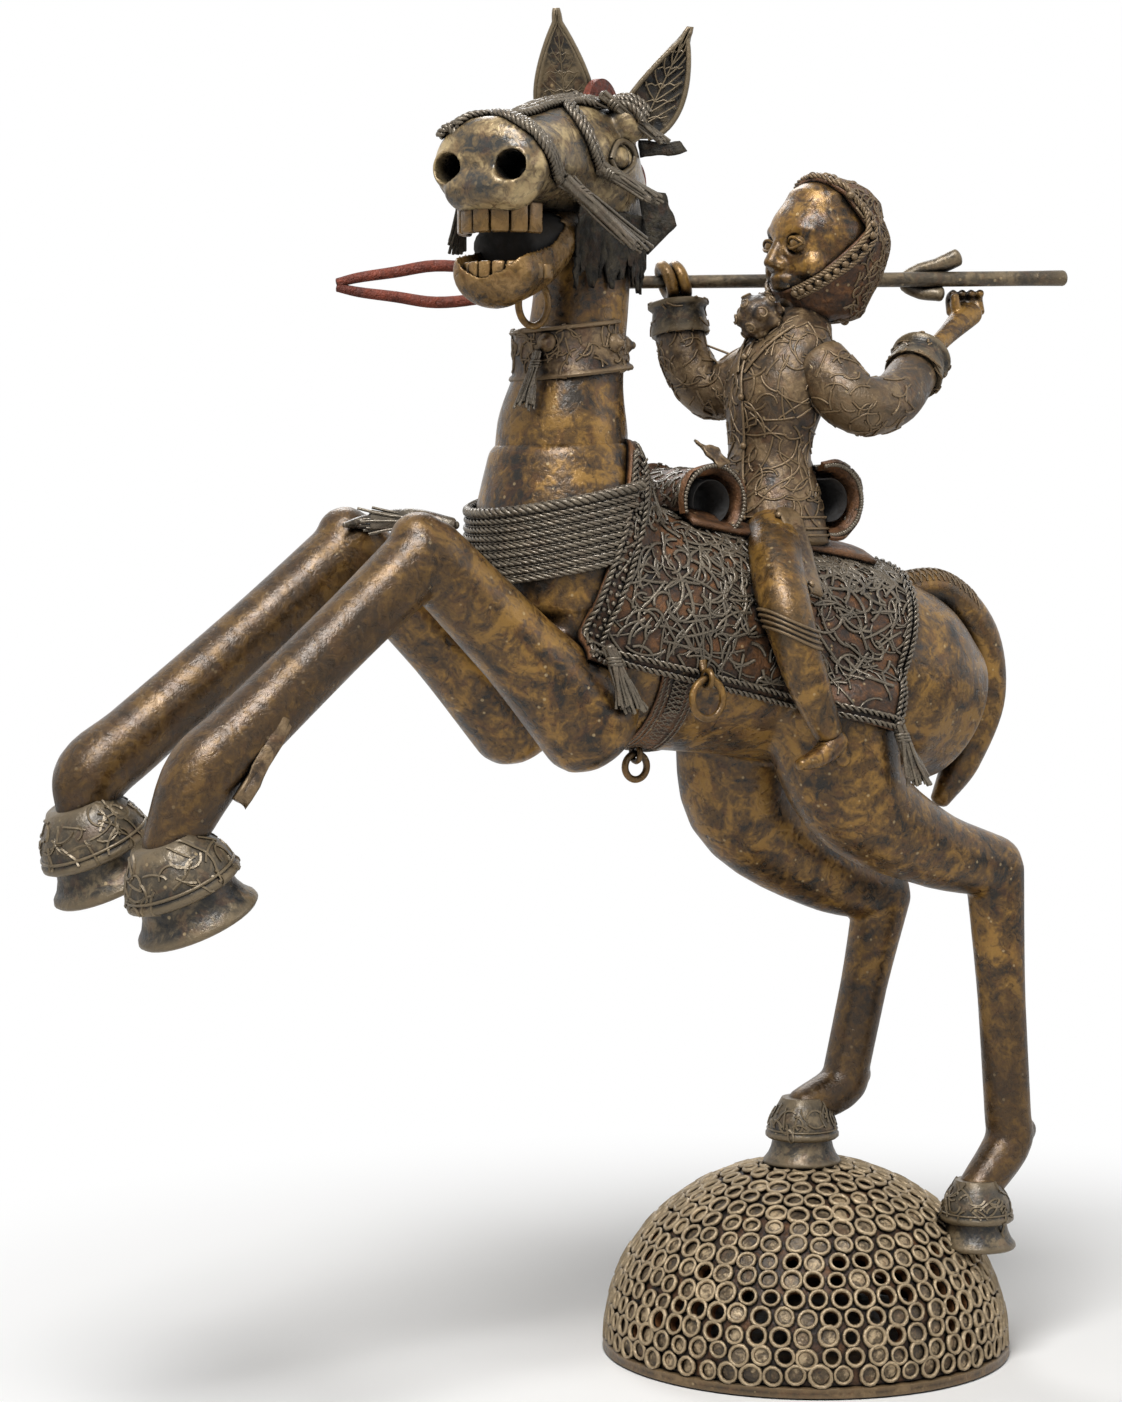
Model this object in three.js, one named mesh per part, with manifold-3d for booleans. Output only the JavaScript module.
// Horse and rider: a cast bronze table ornament. A rearing horse in full harness stands with its hind
// hooves on a pierced dome, and its bearded rider holds a lance in both raised hands.
// Millimetres, +Z up. The horse faces -X and its left side is -Y. The origin is the centre of the
// base plate's underside.
import * as THREE from "three";
import { mergeVertices } from "three/addons/utils/BufferGeometryUtils.js";
import Module from "manifold-3d";

const wasm = await Module();
wasm.setup();

// Clearances
const GAP = 0.3; // between two castings that are seated against each other
const RING_PLAY = 0.45; // round a ring's wire in its eye, and round the lance in its grips

// Base
const DOME_RADIUS = 85;
const PLATE_RIM = 1; // how far the plate stands out round the dome
const PLATE_RADIUS = DOME_RADIUS + PLATE_RIM;
const PLATE_THICKNESS = 5;
const DOME_RISE = 75;
const DOME_WALL = 5;
const DOME_TOP = PLATE_THICKNESS + GAP + DOME_RISE;
const CELL_PITCH = 9.4; // from one cast ring of the dome's skin to the next
const CELL_HOLE_RADIUS = 3.4;
const CUP_DEPTH = 3; // below the dome's full round, so less below its flat faces
const CUP_BANDS = 4;
const DOME_SIDES = 24;
const DOME_STEPS = 6;
const OPEN_ROWS = 5; // rows that have open cells
const OPEN_EVERY = 17; // two cells in so many are open
const SCREW_RADIUS = 2.5;
const SCREW_LENGTH = 19;
const SCREW_HEAD_WIDTH = 9;
const SCREW_HEAD_HEIGHT = 4;

// Horse
const MIDDLE = -25; // the horse's middle plane, beside the dome's centre
const CASTING_WALL = 3.6; // of the hollow castings
const LIMB_WALL = 2.6; // of the hollow legs and arms
const VOID_SIDES = 8; // of the castings' hollows
const HOOF_WALL = 3; // of the hollow fore hooves
const CORE_HOLE_RADIUS = 4; // where the clay core came out, hidden against the next casting
const FORE_HOOF_RADIUS = 23;
const FORE_HOOF_HEIGHT = 25;
const HIND_HOOF_RADIUS = 16.5;
const HIND_HOOF_HEIGHT = 21;
const KNEE_RADIUS = 14;
const CANNON_RADIUS = 12.6;
const HOCK_RADIUS = 13;
const SHANK_RADIUS = 10;
const NECK_RADIUS = 19;
const COLLAR_HEIGHT = 20;
const COLLAR_THICKNESS = 2;
const KNOB_RADIUS = 3.6;
const HEAD_TURN = THREE.MathUtils.degToRad(29); // from straight ahead towards the left
const EAR_WIDTH = 10.5;
const EAR_THICKNESS = 1.8;
const CREST_THICKNESS = 3;
const SKIRT_THICKNESS = 2.4; // of the ragged rim under the head
const TAIL_RADIUS = 7;
const BROW_RADIUS = 8.5;
const TEETH_HALF_WIDTH = 16.5;
const TOOTH_COUNT = 7;
const TOOTH_SLOT = 0.8;

// Harness
const ROPE_RADIUS = 2;
const BREAST_ROPES = 8;
const BREAST_ROPE_PITCH = 3.9;
const CLOTH_THICKNESS = 3;
const GIRTH_WIDTH = 16;
const GIRTH_THICKNESS = 1.6;
const SADDLE_WIDTH = 46;
const SADDLE_SHEET = 2.2;
const SEAT_THICKNESS = 3;
const TASSEL_RADIUS = 4.4;
const RING_WIRE = 1.4; // radius
const EYE_WIRE = 1.2; // radius
const BRIDLE_RING_HEIGHT = 19;
const BRIDLE_RING_WIDTH = 14;
const SADDLE_RING_HEIGHT = 18;
const SADDLE_RING_WIDTH = 17;
const GIRTH_RING_HEIGHT = 13;
const GIRTH_RING_WIDTH = 13;

// Rider
const HEAD_WIDTH = 42;
const HEAD_HEIGHT = 58;
const ARM_RADIUS = 10.5;
const CUFF_RADIUS = 12.5;
const CUFF_HEIGHT = 14;
const HEADDRESS_THICKNESS = 3;
const BEARD_RADIUS = 10.5;
const FINGER_RADIUS = 2.3;
const HOOK_RADIUS = 2.4;
const LANCE_RADIUS = 3;
const LANCE_BUTT_RADIUS = 3.4;
const SPEAR_LENGTH = 84;
const SPEAR_WIDTH = 19;
const SPEAR_THICKNESS = 2.4;

// Directions
const UP = new THREE.Vector3(0, 0, 1);
const ACROSS = new THREE.Vector3(0, 1, 0);
const AHEAD = new THREE.Vector3(-1, 0, 0);
const TAILWARD = new THREE.Vector3(1, 0, 0);
const acrossView = new THREE.Vector3(0.848, -0.53, 0); // level, for pieces that face ahead and to the left

// A place on the figure: x along the horse, y from its middle plane, z above the dome's top.
const place = (x, y, z) => new THREE.Vector3(x, MIDDLE + y, DOME_TOP + z);

// Closed geometry to a solid. Faces that have shrunk to a line are dropped, and an inside-out one is turned.
function solid(geometry) {
  const bare = geometry.index ? geometry.toNonIndexed() : geometry.clone();
  bare.deleteAttribute("normal");
  bare.deleteAttribute("uv");
  const merged = mergeVertices(bare, 1e-3);
  const corners = [];
  for (let i = 0; i < merged.index.count; i += 3) {
    const [a, b, c] = [0, 1, 2].map((k) => merged.index.getX(i + k));
    if (a !== b && b !== c && c !== a) corners.push(a, b, c);
  }
  const build = (order) =>
    new wasm.Manifold(
      new wasm.Mesh({
        numProp: 3,
        vertProperties: merged.attributes.position.array,
        triVerts: new Uint32Array(order),
      }),
    );
  const made = build(corners);
  return made.volume() < 0 ? build(corners.reverse()) : made;
}

const join = (...shapes) => shapes.reduce((sum, shape) => sum.add(shape));

// The greatest body that is left of a shape once others are cut away from it.
function carve(shape, ...others) {
  const cut = others.reduce((rest, other) => rest.subtract(other), shape);
  return cut.decompose().reduce((most, body) => (body.volume() > most.volume() ? body : most));
}

// A rounded bar along a smooth spine. Each station is [point, half width, half depth]; the width lies
// along `side`. Both ends close in a dome, as long as `ends` says in half widths.
function limb(stations, { side = ACROSS, sides = 12, rings = 3, ends = [0.6, 0.6], grow = 0 } = {}) {
  const spine = new THREE.CatmullRomCurve3(stations.map((station) => station[0]));
  const girth = new THREE.CatmullRomCurve3(
    stations.map(([, wide, deep = wide]) => new THREE.Vector3(wide + grow, deep + grow, 0)),
  );
  const last = stations.length - 1;
  const profile = [new THREE.Vector2(0, -1), new THREE.Vector2(0.7, -0.7)];
  for (let k = 0; k <= last * rings; k++) profile.push(new THREE.Vector2(1, k / rings));
  profile.push(new THREE.Vector2(0.7, last + 0.7), new THREE.Vector2(0, last + 1));
  const geometry = new THREE.LatheGeometry(profile, sides);
  const corner = geometry.attributes.position;
  for (let i = 0; i < corner.count; i++) {
    const height = corner.getY(i);
    const along = THREE.MathUtils.clamp(height, 0, last) / last;
    const beyond = height - along * last;
    const middle = spine.getPoint(along);
    const tangent = spine.getTangent(along);
    const across = side.clone().addScaledVector(tangent, -side.dot(tangent)).normalize();
    const through = new THREE.Vector3().crossVectors(across, tangent);
    const { x: wide, y: deep } = girth.getPoint(along);
    const cap = Math.min(wide, deep) * (beyond < 0 ? ends[0] : ends[1]);
    const point = middle
      .addScaledVector(tangent, beyond * cap)
      .addScaledVector(across, corner.getX(i) * wide)
      .addScaledVector(through, corner.getZ(i) * deep);
    corner.setXYZ(i, point.x, point.y, point.z);
  }
  return solid(geometry);
}

// A straight-sided piece turned from a profile of [radius, height], stood at `foot` along `axis`.
function turned(profile, foot, axis = UP, sides = 20) {
  const geometry = new THREE.LatheGeometry(
    profile.map(([radius, height]) => new THREE.Vector2(radius, height)),
    sides,
  );
  geometry.applyQuaternion(
    new THREE.Quaternion().setFromUnitVectors(new THREE.Vector3(0, 1, 0), axis.clone().normalize()),
  );
  geometry.translate(foot.x, foot.y, foot.z);
  return solid(geometry);
}

const rod = (radius, from, to, sides = 12) => {
  const length = from.distanceTo(to);
  return turned([[0, 0], [radius, 0], [radius, length], [0, length]], from, to.clone().sub(from), sides);
};

const ball = (radius, at, sides = 12) => {
  const geometry = new THREE.SphereGeometry(radius, sides, Math.round(sides * 0.6));
  return solid(geometry.translate(at.x, at.y, at.z));
};

// A bent round bar of one thickness.
function tube(points, radius, { sides = 6, steps = 2, closed = false } = {}) {
  const outline = new THREE.Shape();
  outline.absarc(0, 0, radius, 0, Math.PI * 2);
  const geometry = new THREE.ExtrudeGeometry(outline, {
    curveSegments: sides / 2,
    steps: steps * (closed ? points.length : points.length - 1),
    extrudePath: new THREE.CatmullRomCurve3(points, closed),
    bevelEnabled: false,
  });
  return solid(geometry);
}

// A flat plate: an outline of [along, up] pairs in the plane of `along` and UP, as thick as `thickness`.
function plate(outline, thickness, origin, along = AHEAD, upward = UP) {
  const shape = new THREE.Shape(outline.map(([a, b]) => new THREE.Vector2(a, b)));
  const geometry = new THREE.ExtrudeGeometry(shape, { depth: thickness, bevelEnabled: false });
  geometry.translate(0, 0, -thickness / 2);
  const third = new THREE.Vector3().crossVectors(along, upward);
  geometry.applyMatrix4(new THREE.Matrix4().makeBasis(along, upward, third).setPosition(origin));
  return solid(geometry);
}

// Bronze and iron finishes, each colour as the patina shows it
const FINISHES = {
  ochre_bronze: [0x6b4f33, 0.42, 0.75],
  dark_bronze: [0x3a3630, 0.5, 0.7],
  pale_bronze: [0x7d6a50, 0.55, 0.7],
  golden_bronze: [0x8a6a33, 0.38, 0.8],
  rusty_iron: [0x6a2a1b, 0.7, 0.4],
};
const horseAndRider = new THREE.Group();

function addPiece(name, shape, finish) {
  const [color, roughness, metalness] = FINISHES[finish];
  const { vertProperties, triVerts } = shape.getMesh();
  const geometry = new THREE.BufferGeometry();
  geometry.setAttribute("position", new THREE.BufferAttribute(vertProperties, 3));
  geometry.setIndex(new THREE.BufferAttribute(triVerts, 1));
  geometry.computeVertexNormals();
  const mesh = new THREE.Mesh(geometry, new THREE.MeshStandardMaterial({ color, roughness, metalness }));
  mesh.name = name;
  horseAndRider.add(mesh);
}

// Base: a flat plate, and a pierced dome on it
const floorLevel = PLATE_THICKNESS + GAP;
const domeHeight = (x, y) => floorLevel + DOME_RISE * Math.sqrt(1 - (x * x + y * y) / DOME_RADIUS ** 2);
const domeNormal = ({ x, y, z }) => {
  const flat = DOME_RISE / DOME_RADIUS;
  return new THREE.Vector3(x * flat, y * flat, (z - floorLevel) / flat).normalize();
};
// Where a hind hoof stands on the dome: x along the horse, y from its middle plane
const standOn = (x, y, lift) => new THREE.Vector3(x, MIDDLE + y, domeHeight(x, MIDDLE + y) + lift);

// Half an ellipsoid, which starts `sink` below the dome's rim where it is cut out of another shape
function halfEllipsoid(radius, rise, sink = 0) {
  const profile = [[0, floorLevel - sink], [radius, floorLevel - sink]];
  for (let k = sink ? 0 : 1; k < DOME_STEPS; k++) {
    const angle = (k / DOME_STEPS) * (Math.PI / 2);
    profile.push([radius * Math.cos(angle), floorLevel + rise * Math.sin(angle)]);
  }
  return turned([...profile, [0, floorLevel + rise]], new THREE.Vector3(), UP, DOME_SIDES);
}

// Rows of cast rings run round the dome. Some of them, in the lower rows, are open right through, and the
// rest are shallow cups.
const rowTurn = (CELL_PITCH * 0.87) / ((DOME_RADIUS + DOME_RISE) / 2);
const cellsInRow = (row) => {
  const radius = DOME_RADIUS * Math.cos(rowTurn * (row + 0.5));
  return Math.floor((2 * Math.PI * radius) / CELL_PITCH);
};
const isOpen = (row, cell) => row > 0 && row <= OPEN_ROWS && (cell * 3 + row * 5) % OPEN_EVERY <= 1;

function cellCut(row, cell, depth, profile) {
  const angle = rowTurn * (row + 0.5);
  const turn = ((cell + (row % 2) / 2) / cellsInRow(row)) * Math.PI * 2;
  const point = new THREE.Vector3(
    DOME_RADIUS * Math.cos(angle) * Math.cos(turn),
    DOME_RADIUS * Math.cos(angle) * Math.sin(turn),
    floorLevel + DOME_RISE * Math.sin(angle),
  );
  const outward = domeNormal(point);
  return turned(profile, point.addScaledVector(outward, -depth), outward, 6);
}

function openCells() {
  const length = DOME_WALL * 3;
  const profile = [[0, 0], [CELL_HOLE_RADIUS, 0], [CELL_HOLE_RADIUS, length], [0, length]];
  const cuts = [];
  for (let row = 1; row <= OPEN_ROWS; row++) {
    for (let cell = 0; cell < cellsInRow(row); cell++) {
      if (isOpen(row, cell)) cuts.push(cellCut(row, cell, DOME_WALL * 2, profile));
    }
  }
  return join(...cuts);
}

// The solid has one cup in each face of the dome's flanks: the closed cell nearest the face's middle.
function domeCups() {
  const profile = [[0, 0], [CELL_PITCH / 2, CUP_DEPTH], [0, CUP_DEPTH]];
  const cuts = [];
  for (let band = 0; band < CUP_BANDS; band++) {
    const row = Math.round((((band + 0.5) / DOME_STEPS) * (Math.PI / 2)) / rowTurn - 0.5);
    for (let side = 0; side < DOME_SIDES; side++) {
      const cell = Math.round(((side + 0.5) / DOME_SIDES) * cellsInRow(row) - (row % 2) / 2);
      if (!isOpen(row, cell)) cuts.push(cellCut(row, cell, CUP_DEPTH, profile));
    }
  }
  return join(...cuts);
}

// A screw holds each hind hoof to the dome. Its head lies inside, under the dome's wall.
function hoofScrew(x, y) {
  const seat = new THREE.Vector3(x, y, domeHeight(x, y));
  const outward = domeNormal(seat);
  const at = (height) => seat.clone().addScaledVector(outward, height);
  const headTop = -DOME_WALL - GAP;
  const shank = (grow) => rod(SCREW_RADIUS + grow, at(headTop - 1), at(headTop + SCREW_LENGTH + grow), 10);
  const head = (grow) =>
    rod(SCREW_HEAD_WIDTH / 2 + grow, at(headTop - SCREW_HEAD_HEIGHT - grow), at(headTop + grow), 6);
  return { screw: join(shank(0), head(0)), hole: join(shank(GAP), head(GAP)) };
}

// Horse. Each shape takes how much it grows: GAP for its neighbour's seat, minus a wall for its hollow.
const bodyShape = (grow, sides = 16) =>
  limb(
    [
      [place(-146, 0, 236), 34, 36],
      [place(-108, 0, 227), 42, 46],
      [place(-58, 0, 219), 43, 44],
      [place(-8, 0, 211), 42, 43],
      [place(24, 0, 201), 40, 42],
      [place(44, 0, 192), 32, 34],
    ],
    { sides, rings: 2, ends: [0.5, 0.5], grow },
  );

// The neck's root ends in a step, where the neck was cast on
const neckRootShape = (grow, sides = 14) =>
  limb([[place(-134, 0, 238), 38], [place(-137, 0, 268), 36, 35], [place(-138, 0, 299), 28]], {
    sides,
    rings: 1,
    ends: [0.3, 0.12],
    grow,
  });

const neckShape = (grow, sides = 12) =>
  limb(
    [
      [place(-138, 0, 290), NECK_RADIUS * 1.38],
      [place(-137, 0, 306), NECK_RADIUS * 1.34],
      [place(-134, 0, 325), NECK_RADIUS * 1.12],
      [place(-130, 0, 345), NECK_RADIUS],
      [place(-126, 0, 382), NECK_RADIUS * 0.95],
    ],
    { sides, rings: 1, ends: [0.3, 0.3], grow },
  );

// Collar round the neck, tilted up towards the tail, with its knobs
function collarShape() {
  const foot = place(-133, 0, 326);
  const inside = NECK_RADIUS * 0.7;
  const low = NECK_RADIUS * 1.13 + COLLAR_THICKNESS;
  const high = NECK_RADIUS + COLLAR_THICKNESS;
  const rim = 2.5;
  const profile = [
    [inside, 0],
    [low + 1, 0],
    [low, rim],
    [high, COLLAR_HEIGHT - rim],
    [high + 1, COLLAR_HEIGHT],
    [inside, COLLAR_HEIGHT],
    [inside, 0],
  ];
  const knobs = [-0.3, 0.12, 0.36, 0.85].map((turn) => {
    const outward = new THREE.Vector3(Math.sin(turn * Math.PI), -Math.cos(turn * Math.PI), 0);
    const level = foot.clone().addScaledVector(UP, COLLAR_HEIGHT * 0.6);
    return ball(KNOB_RADIUS, level.addScaledVector(outward, high + 1), 6);
  });
  return join(turned(profile, foot, new THREE.Vector3(-0.12, 0, 1), 16), ...knobs);
}

// Head of the horse: places are given ahead of the poll, to its left and above it
const POLL = place(-123, 0, 400);
const headAhead = AHEAD.clone().applyAxisAngle(UP, HEAD_TURN);
const headLeft = new THREE.Vector3().crossVectors(UP, headAhead);
const headPlace = (ahead, left, up) =>
  POLL.clone().addScaledVector(headAhead, ahead).addScaledVector(headLeft, left).addScaledVector(UP, up);

// Skull stations: how far ahead, how high, half width and half height
const SKULL = [
  [-16, -4, 14, 20],
  [8, 4, 21, 28],
  [34, 6, 19, 22],
  [58, 4, 19, 16.5],
  [80, 0, 23.5, 18.5],
];
const skullShape = (grow, sides = 14) =>
  limb(
    SKULL.map(([ahead, up, wide, deep]) => [headPlace(ahead, 0, up), wide, deep]),
    { side: headLeft, sides, rings: 2, ends: [0.7, 0.5], grow },
  );
const browShape = (sideways) => ball(BROW_RADIUS, headPlace(6, sideways * 18, 23), 10);
const nostrilShape = (sideways) =>
  limb([[headPlace(76, sideways * 8, 3), 3], [headPlace(92, sideways * 12, 4), 6]], { sides: 10, rings: 1 });

// The dropped lower jaw is a scoop that comes out of the cheeks
const jawShape = (grow) =>
  limb(
    [
      [headPlace(4, 0, -14), 17, 17],
      [headPlace(30, 0, -20), 14, 11],
      [headPlace(56, 0, -33), 16, 12.5],
      [headPlace(78, 0, -39), 18, 13.5],
    ],
    { side: headLeft, sides: 12, rings: 1, ends: [0.5, 0.55], grow },
  );
const mouthShape = () =>
  limb(
    [
      [headPlace(30, 0, -17), 10, 5],
      [headPlace(56, 0, -26), 12.5, 11],
      [headPlace(88, 0, -29), 14, 13.5],
    ],
    { side: headLeft, sides: 10, rings: 1 },
  );

// A horseshoe of teeth: a bent band with slots between the teeth
function teethShape(reach, height, wall, centre) {
  const bend = (a, b) => {
    const arc = Array.from({ length: 9 }, (_, k) => (k / 8 - 0.5) * Math.PI);
    return [[-reach, -b], ...arc.map((angle) => [a * Math.cos(angle), b * Math.sin(angle)]), [-reach, b]];
  };
  const inner = bend(reach - wall, TEETH_HALF_WIDTH - wall).reverse();
  const band = plate([...bend(reach, TEETH_HALF_WIDTH), ...inner], height, centre, headAhead, headLeft);
  const slots = [];
  for (let tooth = 1; tooth < TOOTH_COUNT; tooth++) {
    const angle = (tooth / TOOTH_COUNT - 0.5) * Math.PI;
    const outward = headAhead.clone().multiplyScalar(Math.cos(angle) * reach);
    outward.addScaledVector(headLeft, Math.sin(angle) * TEETH_HALF_WIDTH);
    const slot = new THREE.BoxGeometry(wall * 0.8, TOOTH_SLOT, height * 2);
    slot.rotateZ(Math.atan2(outward.y, outward.x));
    const at = centre.clone().add(outward);
    slots.push(solid(slot.translate(at.x, at.y, at.z)));
  }
  return band.subtract(join(...slots));
}

// A leaf-shaped ear, broad below the middle and pointed at the tip
function earShape(base, tip) {
  const at = (share) => base.clone().lerp(tip, share);
  return limb(
    [
      [at(0), EAR_WIDTH * 0.45, EAR_THICKNESS * 1.6],
      [at(0.33), EAR_WIDTH, EAR_THICKNESS],
      [at(0.66), EAR_WIDTH * 0.82, EAR_THICKNESS * 0.9],
      [at(1), EAR_WIDTH * 0.12, EAR_THICKNESS * 0.5],
    ],
    { side: acrossView, sides: 8, rings: 2, ends: [0.3, 0.8] },
  );
}

// A lobed iron crest stands behind the poll: three discs in one plate
function crestShape() {
  const half = CREST_THICKNESS / 2;
  const discs = [[-6, 29, 13], [-22, 20, 11], [-33, 4, 9]].map(([ahead, up, radius]) =>
    rod(radius, headPlace(ahead, -half, up), headPlace(ahead, half, up), 14),
  );
  return join(...discs);
}

// The ragged rim of the head's casting hangs over the near side of the neck, as [across the view, up]
function throatSkirtShape() {
  const rim = [[-10, 385], [24, 388], [24, 372], [15, 361], [7, 366], [-2, 360], [-9, 368]];
  const towardsViewer = new THREE.Vector3().crossVectors(acrossView, UP);
  const origin = place(-127, 0, 0).addScaledVector(towardsViewer, NECK_RADIUS);
  return neckShape(GAP + SKIRT_THICKNESS).intersect(plate(rim, NECK_RADIUS * 2, origin, acrossView, UP));
}

// Legs. A fore leg is an upper arm, a cannon and a hoof; a hind leg is a thigh, a shank and a hoof.
const HOOF_OUTLINE = [
  [0, 0],
  [1, 0],
  [1, 0.08],
  [0.8, 0.45],
  [0.78, 0.58],
  [0.92, 0.68],
  [0.7, 1],
  [0.5, 1.3],
  [0, 1.3],
];
const hoofShape = (radius, height, sole, axis) =>
  turned(HOOF_OUTLINE.map(([share, up]) => [share * radius, up * height]), sole, axis, 14);
const foreHoofAxis = new THREE.Vector3(-0.42, 0, 0.9).normalize();

function foreLeg({ top, knee, ankle, sole }) {
  const along = (share) => knee.clone().lerp(ankle, share);
  const pastern = sole.clone().addScaledVector(foreHoofAxis, FORE_HOOF_HEIGHT * 1.15);
  const arm = (grow, sides = 10) =>
    limb(
      [
        [top, KNEE_RADIUS * 1.5],
        [top.clone().lerp(knee, 0.45), KNEE_RADIUS * 1.15],
        [knee, KNEE_RADIUS],
      ],
      { sides, rings: 2, ends: [0.7, 0.7], grow },
    );
  const cannon = (grow, sides = 10) =>
    limb(
      [
        [knee, KNEE_RADIUS * 0.98],
        [along(0.4), CANNON_RADIUS],
        [along(0.85), CANNON_RADIUS * 1.05],
        [ankle, KNEE_RADIUS],
        [pastern, CANNON_RADIUS * 0.8],
      ],
      { sides, rings: 1, grow },
    );
  const hoof = hoofShape(FORE_HOOF_RADIUS, FORE_HOOF_HEIGHT, sole, foreHoofAxis);
  const hoofVoid = turned(
    [
      [0, HOOF_WALL],
      [FORE_HOOF_RADIUS * 0.88 - HOOF_WALL, HOOF_WALL],
      [FORE_HOOF_RADIUS * 0.76 - HOOF_WALL, FORE_HOOF_HEIGHT * 0.5],
      [FORE_HOOF_RADIUS * 0.6 - HOOF_WALL, FORE_HOOF_HEIGHT * 1.1],
      [0, FORE_HOOF_HEIGHT * 1.1],
    ],
    sole,
    foreHoofAxis,
    10,
  );
  return { top, knee, arm, cannon, hoof: carve(hoof, join(hoofVoid, cannon(GAP))) };
}

function hindLeg({ stations, hock, ankle, sole, screw }) {
  const pastern = sole.clone().addScaledVector(UP, HIND_HOOF_HEIGHT * 1.1);
  const thigh = (grow, sides = 12) =>
    limb([...stations, [hock, HOCK_RADIUS]], { sides, rings: 2, ends: [0.5, 0.8], grow });
  const shank = (grow) =>
    limb(
      [
        [hock, HOCK_RADIUS * 0.95],
        [hock.clone().lerp(ankle, 0.5), SHANK_RADIUS],
        [hock.clone().lerp(ankle, 0.92), SHANK_RADIUS * 0.98],
        [ankle, SHANK_RADIUS],
        [pastern, SHANK_RADIUS * 0.85],
      ],
      { sides: 10, rings: 1, grow },
    );
  const hoof = hoofShape(HIND_HOOF_RADIUS, HIND_HOOF_HEIGHT, sole, UP);
  return { top: stations[0][0], thigh, shank, screw, hoof };
}

const foreLegs = {
  near: foreLeg({
    top: place(-145, -33, 192),
    knee: place(-216, -31, 258),
    ankle: place(-307, -31, 180),
    sole: place(-309, -31, 127),
  }),
  far: foreLeg({
    top: place(-140, 28, 191),
    knee: place(-215, 28, 260),
    ankle: place(-324, 28, 176),
    sole: place(-316, 28, 136),
  }),
};
const hindLegs = {
  near: hindLeg({
    stations: [[place(-28, -26, 196), 29], [place(-20, -32, 160), 23], [place(18, -32, 137), 16.5]],
    hock: place(56, -30, 126),
    ankle: place(65, -30, 11),
    sole: standOn(46, -32, 5),
    screw: hoofScrew(41.5, -51.4),
  }),
  far: hindLeg({
    stations: [[place(-36, 24, 186), 27], [place(-32, 28, 152), 23], [place(8, 27, 122), 16.5]],
    hock: place(41, 26, 111),
    ankle: place(19, 24, 31),
    sole: standOn(-2, 25, -1.5),
    screw: hoofScrew(-2, 0),
  }),
};

const tailShape = () =>
  limb(
    [
      [place(22, 0, 240), TAIL_RADIUS],
      [place(50, 0, 241), TAIL_RADIUS],
      [place(70, 0, 222), TAIL_RADIUS],
      [place(75, 0, 196), TAIL_RADIUS * 0.85],
      [place(62, 0, 168), TAIL_RADIUS * 0.7],
      [place(51, 0, 152), TAIL_RADIUS * 0.5],
    ],
    { sides: 10 },
  );

// Harness. A bridle rope lies on the skull: its route is a list of [ahead, share of half a turn from below].
function skinPlace(ahead, turn) {
  const next = Math.max(1, SKULL.findIndex(([at]) => at >= ahead));
  const [low, high] = [SKULL[next - 1], SKULL[next]];
  const share = (ahead - low[0]) / (high[0] - low[0]);
  const [, up, wide, deep] = low.map((value, k) => value + (high[k] - value) * share);
  const lift = ROPE_RADIUS * 0.7;
  const angle = turn * Math.PI;
  return headPlace(ahead, Math.sin(angle) * (wide + lift), up - Math.cos(angle) * (deep + lift));
}
const ropeOnHead = (route) => tube(route.map(([ahead, turn]) => skinPlace(ahead, turn)), ROPE_RADIUS);

// A cast tassel: a bound neck and a flared, flattened tuft
const tasselShape = (from, to, side = TAILWARD) =>
  limb(
    [
      [from, TASSEL_RADIUS * 0.5],
      [from.clone().lerp(to, 0.35), TASSEL_RADIUS * 0.6],
      [to, TASSEL_RADIUS, TASSEL_RADIUS * 0.5],
    ],
    { side, sides: 7, rings: 1, ends: [0.6, 0.25] },
  );

// Everything behind an outline of [x, z] seen from the side
const SIGHT_WIDTH = 260; // wider than the figure
const seenFromSide = (outline, shift = 0) =>
  plate(outline.map(([x, z]) => [x + shift, z]), SIGHT_WIDTH, place(0, 0, 0), TAILWARD);

const trunkShape = (grow) => join(bodyShape(grow), neckRootShape(grow));
const CLOTH_OUTLINE = [
  [-102, 292],
  [-149, 221],
  [-71, 204],
  [-11, 188],
  [10, 221],
  [26, 246],
  [30, 320],
  [-80, 320],
];
const clothShape = (grow) =>
  trunkShape(GAP + CLOTH_THICKNESS + grow).intersect(seenFromSide(CLOTH_OUTLINE));

// The breast band: ropes laid edge to edge on a backing, round the front of the neck's root
function breastBandShape() {
  const low = 247;
  const rise = 0.25; // towards the tail
  const inside = 28;
  const outside = 38 + GAP + 1.6;
  const profile = [[inside, 0]];
  for (let rope = 0; rope < BREAST_ROPES; rope++) {
    const foot = rope * BREAST_ROPE_PITCH;
    const lean = -rope * 0.22;
    profile.push([outside + lean, foot], [outside + lean + ROPE_RADIUS * 0.8, foot + BREAST_ROPE_PITCH / 2]);
  }
  const top = BREAST_ROPES * BREAST_ROPE_PITCH;
  profile.push([outside - BREAST_ROPES * 0.22, top], [inside, top], [inside, 0]);
  const geometry = new THREE.LatheGeometry(profile.map(([r, h]) => new THREE.Vector2(r, h)), 14);
  geometry.rotateX(Math.PI / 2);
  const corner = geometry.attributes.position;
  const centre = place(-135.5, 0, low);
  for (let i = 0; i < corner.count; i++) {
    const x = corner.getX(i);
    const y = corner.getY(i);
    const z = corner.getZ(i) + rise * (x + outside);
    corner.setXYZ(i, centre.x + x, centre.y + y, centre.z + z);
  }
  return solid(geometry);
}

// The girth comes out under the cloth and goes round the belly
const GIRTH_X = -108;
function girthShape() {
  const [front, back] = [GIRTH_X - GIRTH_WIDTH / 2, GIRTH_X + GIRTH_WIDTH / 2];
  const region = seenFromSide([[front, 150], [back, 150], [back, 212], [front, 212]]);
  return bodyShape(GAP + GIRTH_THICKNESS).intersect(region);
}

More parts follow.
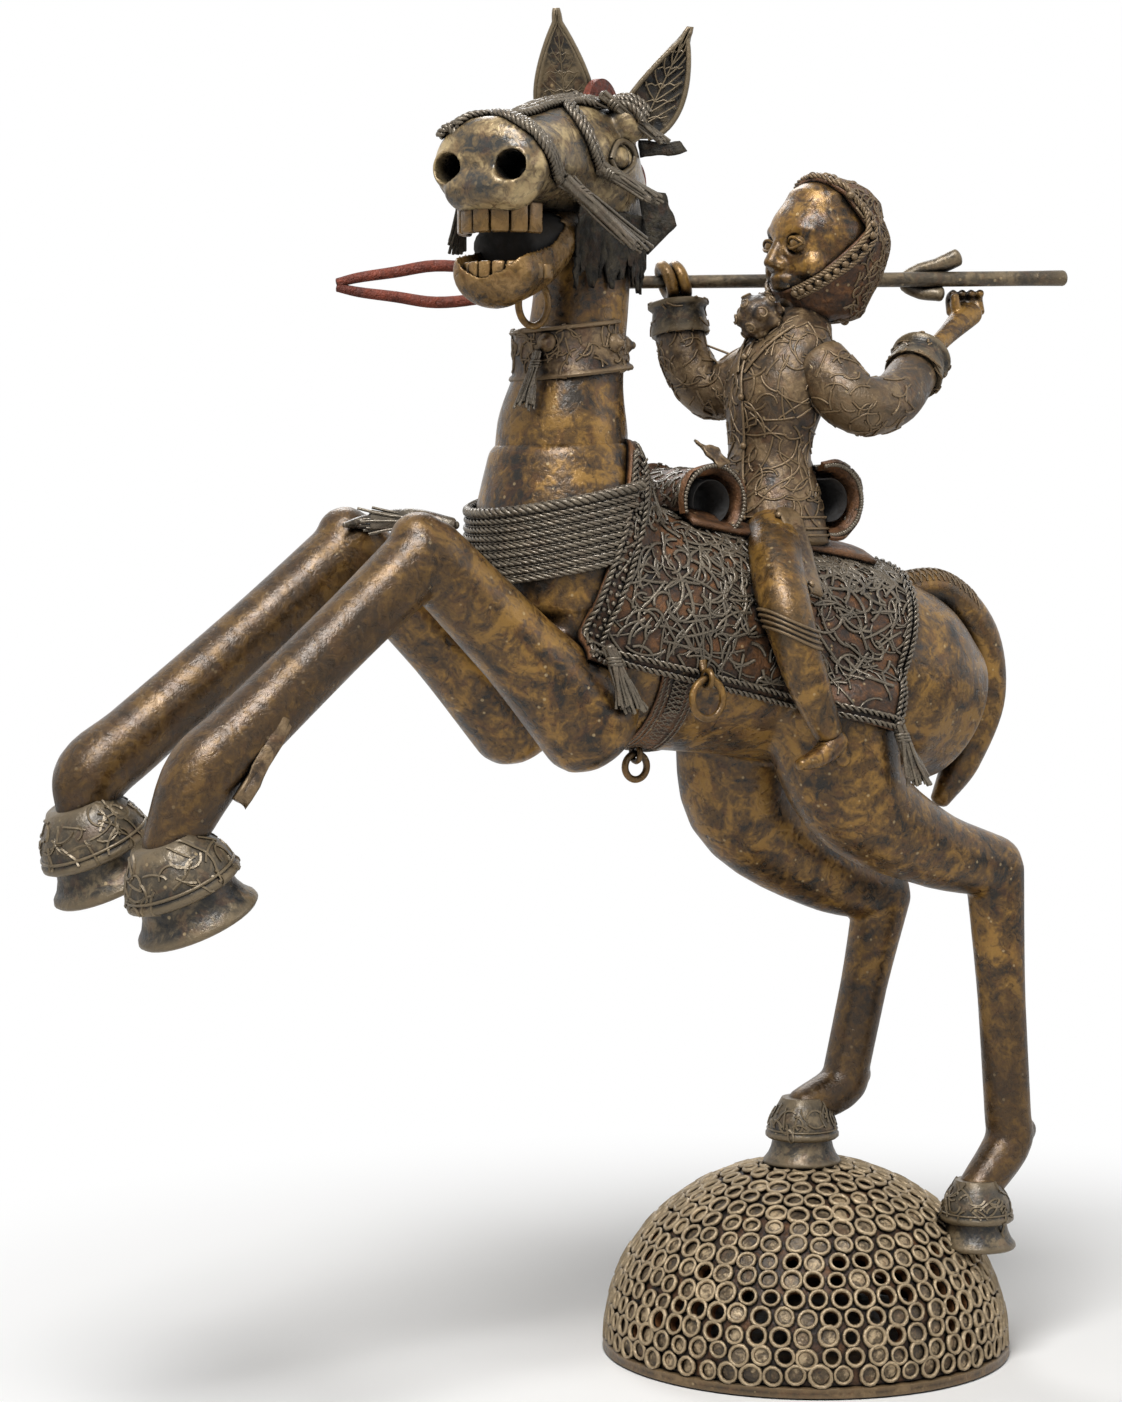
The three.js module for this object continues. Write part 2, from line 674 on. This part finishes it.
// A ring hangs from an eye and swings about the middle of its wire there. The eye is returned, to be cast
// in one with what carries it.
function hangingRing(name, top, across, height, width, root) {
  const down = height / 2 - RING_WIRE;
  const out = width / 2 - RING_WIRE;
  const ring = new THREE.TorusGeometry(down, RING_WIRE, 8, 20);
  const corner = ring.attributes.position;
  for (let i = 0; i < corner.count; i++) {
    const share = corner.getX(i) / Math.hypot(corner.getX(i), corner.getY(i));
    corner.setX(i, corner.getX(i) + share * (out - down));
  }
  const facing = new THREE.Matrix4().makeBasis(across, UP, new THREE.Vector3().crossVectors(across, UP));
  ring.applyMatrix4(facing.setPosition(top.clone().addScaledVector(UP, -down)));
  addPiece(`${name}_ring`, solid(ring), "ochre_bronze");
  const eyeRadius = RING_WIRE + RING_PLAY + EYE_WIRE;
  const geometry = new THREE.TorusGeometry(eyeRadius, EYE_WIRE, 6, 10);
  geometry.applyQuaternion(new THREE.Quaternion().setFromUnitVectors(UP, across));
  const eye = solid(geometry.translate(top.x, top.y, top.z));
  const reach = root.clone().sub(top).normalize();
  return join(eye, rod(EYE_WIRE, top.clone().addScaledVector(reach, eyeRadius), root, 8));
}

// A sheet curled about a line across the horse, from one angle to another
function curledSheet(centre, radius, from, to, grow) {
  const outline = new THREE.Shape();
  const margin = grow / radius;
  outline.absarc(0, 0, radius + grow, from - margin, to + margin, false);
  outline.absarc(0, 0, radius - SADDLE_SHEET - grow, to + margin, from - margin, true);
  const width = SADDLE_WIDTH + 2 * grow;
  const geometry = new THREE.ExtrudeGeometry(outline, {
    depth: width,
    bevelEnabled: false,
    curveSegments: 8,
  });
  geometry.translate(0, 0, -width / 2);
  const basis = new THREE.Matrix4().makeBasis(TAILWARD, UP, ACROSS.clone().negate());
  return solid(geometry.applyMatrix4(basis.setPosition(centre)));
}

// Saddle: a seat with a curled pommel before it and a curled cantle behind
const seatShape = (grow) =>
  bodyShape(CLOTH_THICKNESS + 2 * GAP + SEAT_THICKNESS + grow).intersect(
    seenFromSide([[-92, 246], [-2, 236], [-2, 300], [-92, 300]]),
  );
const pommelShape = (grow) => curledSheet(place(-76, 0, 279), 15, -0.35 * Math.PI, 1.1 * Math.PI, grow);
const cantleShape = (grow) => curledSheet(place(-17, 0, 279), 14, -0.55 * Math.PI, 0.6 * Math.PI, grow);

// Rider
const coatShape = (grow) =>
  limb(
    [
      [place(-38, 0, 262), 25, 20],
      [place(-38, 0, 280), 23.5, 19],
      [place(-38, 0, 298), 18.5, 15.5],
      [place(-35, 0, 322), 24, 19],
      [place(-27, 0, 341), 21, 15.5],
      [place(-20, 0, 352), 11, 11],
    ],
    { sides: 14, rings: 2, ends: [0.2, 0.3], grow },
  );

// Head of the rider: stations of how high, half width and half depth
const RIDER_HEAD = place(-10, 0, 378);
const headHalf = HEAD_WIDTH / 2;
const riderHeadPlace = (ahead, left, up) => RIDER_HEAD.clone().add(new THREE.Vector3(-ahead, -left, up));
const riderHeadShape = (grow) =>
  limb(
    [
      [riderHeadPlace(2, 0, -HEAD_HEIGHT * 0.4), headHalf * 0.58, headHalf * 0.72],
      [riderHeadPlace(2, 0, -HEAD_HEIGHT * 0.16), headHalf * 0.88, headHalf * 1.05],
      [riderHeadPlace(0, 0, HEAD_HEIGHT * 0.12), headHalf, headHalf * 1.18],
      [riderHeadPlace(-2, 0, HEAD_HEIGHT * 0.32), headHalf * 0.8, headHalf * 0.95],
    ],
    { sides: 12, rings: 2, ends: [0.3, 0.65], grow },
  );
const faceDepth = headHalf * 1.12;
function faceShape() {
  const at = (ahead, left, up) => riderHeadPlace(faceDepth + ahead, left, up);
  const nose = limb([[at(0, 0, 5), 2], [at(4, 0, -5), 4]], { sides: 8 });
  const mouth = limb([[at(-3, -6, -12), 2], [at(-3, 6, -12), 2]], { side: UP, sides: 6, rings: 1 });
  const eyes = [-1, 1].map((sideways) => ball(3.4, at(-4, sideways * 8.5, 3), 6));
  return join(nose, mouth, ...eyes);
}
const headdressShape = () =>
  riderHeadShape(GAP + HEADDRESS_THICKNESS).intersect(
    seenFromSide([[-10, 420], [-4, 392], [3, 372], [0, 346], [40, 346], [40, 420]]),
  );
// Beard: a ball at the chin, slung from two plaits along the jaw
function beardShape() {
  const plaits = [-1, 1].map((sideways) =>
    limb(
      [
        [riderHeadPlace(0, sideways * 21, 0), 3.4],
        [riderHeadPlace(14, sideways * 19, -14), 4],
        [riderHeadPlace(28, sideways * 6, -25), 5],
      ],
      { sides: 6, rings: 2 },
    ),
  );
  return join(ball(BEARD_RADIUS, riderHeadPlace(34, 0, -26), 10), ...plaits);
}

const armShapes = {
  near: (grow) =>
    limb(
      [
        [place(-26, -17, 331), ARM_RADIUS * 1.25],
        [place(-19, -34, 316), ARM_RADIUS * 1.15],
        [place(0, -31, 318), ARM_RADIUS * 1.05],
        [place(20, -20, 330), ARM_RADIUS * 0.95],
      ],
      { sides: 12, rings: 2, ends: [0.4, 0.3], grow },
    ),
  far: (grow) =>
    limb(
      [
        [place(-30, 17, 331), ARM_RADIUS * 1.2],
        [place(-44, 33, 323), ARM_RADIUS * 1.1],
        [place(-52, 40, 336), ARM_RADIUS],
        [place(-53, 43, 348), ARM_RADIUS * 0.95],
      ],
      { sides: 12, rings: 2, ends: [0.4, 0.3], grow },
    ),
};
const CUFFS = {
  near: { foot: place(19, -20.5, 329), axis: new THREE.Vector3(12, 8, 10) },
  far: { foot: place(-53, 42.5, 346), axis: new THREE.Vector3(0, 2, 12) },
};
// A turned-back cuff: a short sleeve with a rolled edge
const cuffShape = ({ foot, axis }) =>
  turned(
    [
      [0, 0],
      [CUFF_RADIUS * 0.98, 0],
      [CUFF_RADIUS * 0.88, CUFF_HEIGHT * 0.75],
      [CUFF_RADIUS, CUFF_HEIGHT * 0.85],
      [CUFF_RADIUS, CUFF_HEIGHT],
      [0, CUFF_HEIGHT],
    ],
    foot,
    axis,
    16,
  );

// Lance
const lanceTip = place(-188.8, 92, 364.6);
const lanceButt = place(109.8, -12, 372.6);
const lanceAlong = lanceTip.clone().sub(lanceButt).normalize();
const lanceSide = new THREE.Vector3().crossVectors(lanceAlong, UP).normalize();
const lanceUp = new THREE.Vector3().crossVectors(lanceSide, lanceAlong);
const lanceLength = lanceTip.distanceTo(lanceButt);
// A place by the lance: how far from its butt, towards the viewer's side and above its middle line
const lancePlace = (along, outward, up) =>
  lanceButt
    .clone()
    .addScaledVector(lanceAlong, along)
    .addScaledVector(lanceSide, outward)
    .addScaledVector(lanceUp, up);
const lanceShape = (grow) =>
  limb(
    [
      [lancePlace(LANCE_BUTT_RADIUS, 0, 0), LANCE_BUTT_RADIUS],
      [lancePlace(lanceLength * 0.5, 0, 0), LANCE_RADIUS],
      [lancePlace(lanceLength - SPEAR_LENGTH + 6, 0, 0), LANCE_RADIUS * 0.85],
    ],
    { side: UP, sides: 10, rings: 2, grow },
  );
// An open leaf-shaped spearhead, forged from one flat bar, with a socket round the shaft
function spearShape() {
  const half = SPEAR_WIDTH / 2;
  const edge = [[0.24, 0.48], [0.5, 1], [0.75, 0.82], [0.92, 0.45]];
  const outer = [[0, 0], ...edge.map(([s, w]) => [s, w * half]), [1, 0.45 * half]];
  const inner = [[0.3, 0], [0.5, 0.58 * half], [0.75, 0.42 * half], [0.88, 0]];
  const mirror = (points) => points.map(([s, w]) => [s, -w]).reverse();
  const scaled = (points) => points.map(([s, w]) => [s * SPEAR_LENGTH, w]);
  const outline = scaled([...outer, ...mirror(outer.slice(1))]);
  const slot = scaled([...inner, ...mirror(inner.slice(1, -1))]);
  const flat = (shape, thickness) => plate(shape, thickness, lanceTip, lanceAlong.clone().negate(), lanceUp);
  const blade = flat(outline, SPEAR_THICKNESS).subtract(flat(slot, SPEAR_THICKNESS * 2));
  const mouth = lanceLength - SPEAR_LENGTH;
  return join(blade, rod(LANCE_RADIUS * 1.5, lancePlace(mouth - 4, 0, 0), lancePlace(mouth + 10, 0, 0), 10));
}
// A hook cast round the shaft, open towards the butt
const lanceHookShape = () => {
  const away = LANCE_BUTT_RADIUS + GAP + HOOK_RADIUS;
  const route = [
    [58, 0.1, -1],
    [65, 0.6, -0.8],
    [71, 1, -0.1],
    [65, 0.85, 0.6],
    [57, 0.4, 1],
    [50, 0.2, 1.5],
  ];
  return tube(
    route.map(([along, outward, up]) => lancePlace(along, outward * away, up * away)),
    HOOK_RADIUS,
  );
};

// Hands: the near one holds its fingers up under the lance, the far one is curled round it
const GRIP_NEAR = 46;
const GRIP_FAR = 174;
const wristOf = ({ foot, axis }) => foot.clone().addScaledVector(axis.clone().normalize(), CUFF_HEIGHT * 0.6);
function nearHandShape() {
  const top = -LANCE_BUTT_RADIUS - RING_PLAY;
  const wrist = wristOf(CUFFS.near);
  const palm = lancePlace(GRIP_NEAR, 1, top - 11);
  const heel = wrist.clone().lerp(palm, 0.5);
  const bones = [limb([[wrist, 3.6], [heel, 3.8], [palm, 7, 5.5]], { sides: 8, rings: 2 })];
  for (let finger = 0; finger < 4; finger++) {
    const along = GRIP_NEAR + 6 - finger * 4;
    const root = lancePlace(along, 3, top - 10);
    const knuckle = lancePlace(along, 4.5, top - 4);
    const tip = lancePlace(along, 1, top - 1.8);
    bones.push(limb([[root, 2.4], [knuckle, 2.3], [tip, 1.8]], { sides: 6, rings: 1 }));
  }
  return join(...bones);
}
function farHandShape() {
  const wrist = wristOf(CUFFS.far);
  const away = LANCE_RADIUS + RING_PLAY + FINGER_RADIUS;
  const curl = Array.from({ length: 8 }, (_, k) => {
    const angle = (k / 8) * Math.PI * 2;
    return lancePlace(GRIP_FAR + 2 * Math.sin(angle), Math.cos(angle) * away, Math.sin(angle) * away);
  });
  const loop = tube(curl, FINGER_RADIUS, { closed: true, sides: 8 });
  const underLoop = lancePlace(GRIP_FAR, 0, -away - 1);
  const palm = limb([[wrist, 4], [underLoop, 5, 4]], { sides: 8, rings: 2, ends: [0.4, 0.3] });
  return join(loop, palm);
}

function legShape(sideways, grow) {
  const at = (x, y, z) => place(x, y * sideways, z);
  return limb(
    [
      [at(-48, 20, 262), 14],
      [at(-63, 39, 250), 13],
      [at(-68, 55, 231), 11],
      [at(-60, 56, 208), 9],
      [at(-49, 55, 187), 6.5],
    ],
    { side: TAILWARD, sides: 12, rings: 2, ends: [0.3, 0.5], grow },
  );
}
const footShape = (sideways) =>
  limb(
    [
      [place(-45, 55 * sideways, 184), 5.5],
      [place(-53, 56 * sideways, 178), 5.2],
      [place(-64, 57 * sideways, 175), 3.2],
    ],
    { sides: 8, rings: 2 },
  );

// Assembly of the base
const plateProfile = [[0, 0], [PLATE_RADIUS, 0], [PLATE_RADIUS, PLATE_THICKNESS], [0, PLATE_THICKNESS]];
addPiece("base_plate", turned(plateProfile, new THREE.Vector3(), UP, 40), "pale_bronze");
const domeOuter = halfEllipsoid(DOME_RADIUS, DOME_RISE);
const domeClear = halfEllipsoid(DOME_RADIUS + GAP, DOME_RISE + GAP);
const domeHollow = halfEllipsoid(DOME_RADIUS - DOME_WALL, DOME_RISE - DOME_WALL, GAP);
const screwHoles = Object.values(hindLegs).map((leg) => leg.screw.hole);
addPiece("dome_shell", carve(domeOuter, domeHollow, openCells(), domeCups(), ...screwHoles), "pale_bronze");

// Assembly of the horse, each casting cut back from those before it
const bodyClear = bodyShape(GAP);
const hollowShapes = [bodyShape, neckRootShape, neckShape, skullShape];
const voids = hollowShapes.map((shape) => shape(-CASTING_WALL, VOID_SIDES));
addPiece("horse_body", carve(bodyShape(0), join(...voids)), "ochre_bronze");
addPiece("neck_root", carve(neckRootShape(0), bodyClear, join(...voids)), "ochre_bronze");
const neck = carve(neckShape(0), neckRootShape(GAP), join(...voids));
addPiece("neck", neck, "ochre_bronze");
addPiece("neck_collar", carve(collarShape(), neckShape(GAP)), "dark_bronze");
const headClear = join(skullShape(GAP), neckShape(GAP), browShape(1), browShape(-1));
const skull = carve(join(skullShape(0), browShape(1), browShape(-1)), neckShape(GAP), join(...voids));
addPiece("horse_head", carve(skull, nostrilShape(1), nostrilShape(-1)), "ochre_bronze");
const bridleEye = hangingRing(
  "bridle",
  headPlace(37, -6, -39),
  acrossView,
  BRIDLE_RING_HEIGHT,
  BRIDLE_RING_WIDTH,
  headPlace(38, -5, -28),
);
addPiece("lower_jaw", carve(join(jawShape(0), bridleEye), mouthShape(), headClear), "golden_bronze");
const jawClear = jawShape(GAP).subtract(mouthShape());
const upperTeeth = teethShape(17, 14, 4, headPlace(66, 0, -20));
const lowerTeeth = teethShape(17, 8, 3.5, headPlace(68, 0, -38));
addPiece("upper_teeth", carve(upperTeeth, headClear, jawClear), "golden_bronze");
addPiece("lower_teeth", carve(lowerTeeth, jawClear), "golden_bronze");
addPiece("ear_near", carve(earShape(headPlace(-6, 16, 18), place(-94, -24, 460)), headClear), "dark_bronze");
addPiece("ear_far", carve(earShape(headPlace(-3, -13, 22), place(-135, 8, 468)), headClear), "dark_bronze");

addPiece("mane_crest", carve(crestShape(), headClear), "rusty_iron");
addPiece("throat_skirt", carve(throatSkirtShape(), headClear, jawClear), "dark_bronze");

// A hollow limb, whose core hole is hidden against the casting that carries it
const hollow = (shape, from, to) =>
  carve(shape(0), join(shape(-LIMB_WALL, VOID_SIDES), rod(CORE_HOLE_RADIUS, from, to, 8)));
for (const [side, leg] of Object.entries(foreLegs)) {
  const arm = hollow(leg.arm, leg.top, place(-118, 0, 215));
  addPiece(`fore_arm_${side}`, carve(arm, bodyClear), "ochre_bronze");
  addPiece(`fore_cannon_${side}`, carve(hollow(leg.cannon, leg.knee, leg.top), leg.arm(GAP)), "ochre_bronze");
  addPiece(`fore_hoof_${side}`, leg.hoof, "dark_bronze");
}
for (const [side, leg] of Object.entries(hindLegs)) {
  const thigh = hollow(leg.thigh, leg.top, place(0, 0, 205));
  addPiece(`thigh_${side}`, carve(thigh, bodyClear), "ochre_bronze");
  addPiece(`shank_${side}`, carve(leg.shank(0), leg.thigh(GAP), leg.screw.hole), "ochre_bronze");
  addPiece(`hind_hoof_${side}`, carve(leg.hoof, leg.shank(GAP), domeClear, leg.screw.hole), "dark_bronze");
  addPiece(`hoof_screw_${side}`, leg.screw.screw, "pale_bronze");
}

// Assembly of the harness
const bridleRoutes = [
  [[79, 1.3], [68, 1.14], [46, 1], [22, 1]],
  [[66, 1.1], [56, 0.85], [44, 0.5]],
  [[22, 1], [22, 0.8], [28, 0.48]],
];
const bridleTassels = [
  tasselShape(skinPlace(44, 0.5), headPlace(26, 30, -24), headAhead),
  tasselShape(skinPlace(28, 0.48), headPlace(16, 34, -6), headAhead),
];
addPiece("bridle", carve(join(...bridleRoutes.map(ropeOnHead), ...bridleTassels), headClear), "dark_bronze");
const farTassel = tasselShape(headPlace(62, -20, -2), headPlace(50, -32, -26), headAhead);
addPiece("bridle_tassel_far", carve(farTassel, headClear, jawShape(GAP)), "dark_bronze");

const legsClear = join(
  ...Object.values(foreLegs).map((leg) => leg.arm(GAP)),
  ...Object.values(hindLegs).map((leg) => leg.thigh(GAP)),
);
const saddleEye = hangingRing(
  "saddle",
  place(-102, -49, 209),
  TAILWARD,
  SADDLE_RING_HEIGHT,
  SADDLE_RING_WIDTH,
  place(-101, -40, 215),
);
addPiece("saddle_cloth", carve(join(clothShape(0), saddleEye), trunkShape(GAP), legsClear), "dark_bronze");
const clothClear = clothShape(GAP);
const clothRegion = seenFromSide(CLOTH_OUTLINE, -1);
addPiece("tail", carve(tailShape(), bodyClear, clothClear), "ochre_bronze");
const behindBand = seenFromSide([[-150, 221], [-103, 292], [-60, 340], [60, 340], [60, 221]]);
addPiece("breast_band", carve(breastBandShape(), trunkShape(GAP), behindBand, legsClear), "dark_bronze");
const girthEye = hangingRing(
  "girth",
  place(GIRTH_X, -8, 178),
  TAILWARD,
  GIRTH_RING_HEIGHT,
  GIRTH_RING_WIDTH,
  place(GIRTH_X, -6, 184),
);
const girth = carve(join(girthShape(), girthEye), bodyClear, clothRegion, clothClear, legsClear);
addPiece("girth", girth, "dark_bronze");
const clothTassels = {
  front: tasselShape(place(-146, -46, 222), place(-140, -49, 203)),
  rear: tasselShape(place(-10, -46, 190), place(-5, -48, 169)),
};
for (const [end, tassel] of Object.entries(clothTassels)) {
  addPiece(`cloth_tassel_${end}`, carve(tassel, clothClear, legsClear, bodyClear), "dark_bronze");
}
const collarTassel = tasselShape(place(-156, -12, 330), place(-163, -16, 314));
addPiece("collar_tassel", carve(collarTassel, neckShape(GAP), collarShape()), "dark_bronze");

// Assembly of the saddle and rider
const saddleSeat = carve(seatShape(0), bodyShape(CLOTH_THICKNESS + 2 * GAP));
const [seatFront, seatSide] = [-92, SADDLE_WIDTH / 2];
const seatEdge = [[seatFront, -seatSide], [0, -seatSide], [0, seatSide], [seatFront, seatSide]];
const seatTrim = plate(seatEdge, SIGHT_WIDTH, place(0, 0, 270), TAILWARD, ACROSS);
addPiece("saddle_seat", saddleSeat.intersect(seatTrim), "dark_bronze");
const seatClear = join(seatShape(GAP), clothClear);
addPiece("saddle_pommel", carve(pommelShape(0), seatClear), "dark_bronze");
addPiece("saddle_cantle", carve(cantleShape(0), seatClear), "dark_bronze");
const saddleClear = join(seatClear, pommelShape(GAP), cantleShape(GAP));
addPiece("rider_coat", carve(coatShape(0), saddleClear), "ochre_bronze");
addPiece("rider_head", carve(join(riderHeadShape(0), faceShape()), coatShape(GAP)), "ochre_bronze");
addPiece("rider_headdress", carve(headdressShape(), riderHeadShape(GAP), coatShape(GAP)), "dark_bronze");
const riderHeadClear = join(riderHeadShape(GAP), coatShape(GAP));
const headdressClear = headdressShape();
addPiece("rider_beard", carve(beardShape(), riderHeadClear, headdressClear), "dark_bronze");

for (const [side, sideways] of [["near", -1], ["far", 1]]) {
  const arm = armShapes[side];
  const cuff = cuffShape(CUFFS[side]);
  addPiece(`rider_arm_${side}`, carve(arm(0), coatShape(GAP)), "ochre_bronze");
  addPiece(`rider_cuff_${side}`, carve(cuff, arm(GAP)), "dark_bronze");
  const hand = side === "near" ? nearHandShape() : farHandShape();
  addPiece(`rider_hand_${side}`, carve(hand, cuff, arm(GAP)), "ochre_bronze");
  const leg = carve(legShape(sideways, 0), saddleClear, coatShape(GAP), bodyClear);
  addPiece(`rider_leg_${side}`, leg, "ochre_bronze");
  addPiece(`rider_foot_${side}`, carve(footShape(sideways), legShape(sideways, GAP)), "ochre_bronze");
}
addPiece("lance_shaft", lanceShape(0), "dark_bronze");
addPiece("lance_head", carve(spearShape(), lanceShape(GAP)), "rusty_iron");
addPiece("lance_hook", lanceHookShape(), "ochre_bronze");

export default horseAndRider;
